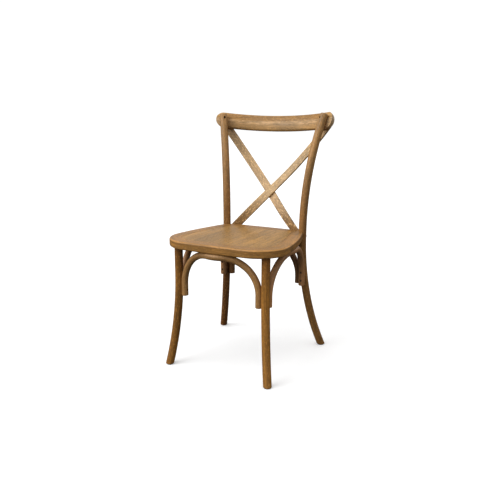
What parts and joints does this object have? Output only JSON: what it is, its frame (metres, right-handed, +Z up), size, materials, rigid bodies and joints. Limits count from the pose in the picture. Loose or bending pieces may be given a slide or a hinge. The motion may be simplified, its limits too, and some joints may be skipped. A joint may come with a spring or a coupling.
{
  "type": "cross back dining chair",
  "caption": "Bent wood dining chair with round flared legs, arched braces, a crossed slat back under a curved top rail, and a rounded wooden seat.",
  "frame": {"origin": "on the floor, below the middle of the whole chair's box", "axes": "+Z up, +Y to the back, the sitter faces -Y, +X to the sitter's left, which is the viewer's right from the front"},
  "size_m": [0.4766, 0.5097, 0.886],
  "materials": {
    "rear_post_wood": "satin, open grain",
    "front_leg_wood": "satin, open grain",
    "top_rail_wood": "satin, open grain",
    "slat_front_wood": "satin, open grain",
    "slat_rear_wood": "satin, open grain",
    "front_arch_wood": "satin, open grain",
    "rear_arch_wood": "satin, open grain",
    "side_arch_left_wood": "satin, open grain",
    "side_arch_right_wood": "satin, open grain",
    "rim_front_wood": "satin, open grain",
    "rim_rear_wood": "satin, open grain",
    "rim_left_wood": "satin, open grain",
    "rim_right_wood": "satin, open grain",
    "panel_wood": "satin, open grain",
    "dowel_wood": "satin, open grain",
    "screw_steel": "dull dark zinc",
    "bolt_steel": "dull dark zinc",
    "glide_plastic": "matte"
  },
  "bodies": {
    "root": {"rear_post_left": "rear_post_wood", "rear_post_right": "rear_post_wood", "front_leg_left": "front_leg_wood", "front_leg_right": "front_leg_wood", "top_rail": "top_rail_wood", "cross_slat_front": "slat_front_wood", "cross_slat_rear": "slat_rear_wood", "front_arch": "front_arch_wood", "rear_arch": "rear_arch_wood", "side_arch_left": "side_arch_left_wood", "side_arch_right": "side_arch_right_wood", "seat_front_rail": "rim_front_wood", "seat_rear_rail": "rim_rear_wood", "seat_side_left": "rim_left_wood", "seat_side_right": "rim_right_wood", "seat_panel": "panel_wood", "rim_dowels": "dowel_wood", "front_arch_screws": "screw_steel", "rear_arch_screws": "screw_steel", "side_arch_screws_left": "screw_steel", "side_arch_screws_right": "screw_steel", "arch_top_screws": "screw_steel", "rail_screws": "screw_steel", "slat_head_screws": "screw_steel", "slat_foot_screws": "screw_steel", "slat_cross_screw": "screw_steel", "panel_screws": "screw_steel", "post_bolts": "bolt_steel", "barrel_nuts": "bolt_steel", "glide_front_left": "glide_plastic", "glide_front_right": "glide_plastic", "glide_rear_left": "glide_plastic", "glide_rear_right": "glide_plastic"}
  },
  "joints": []
}
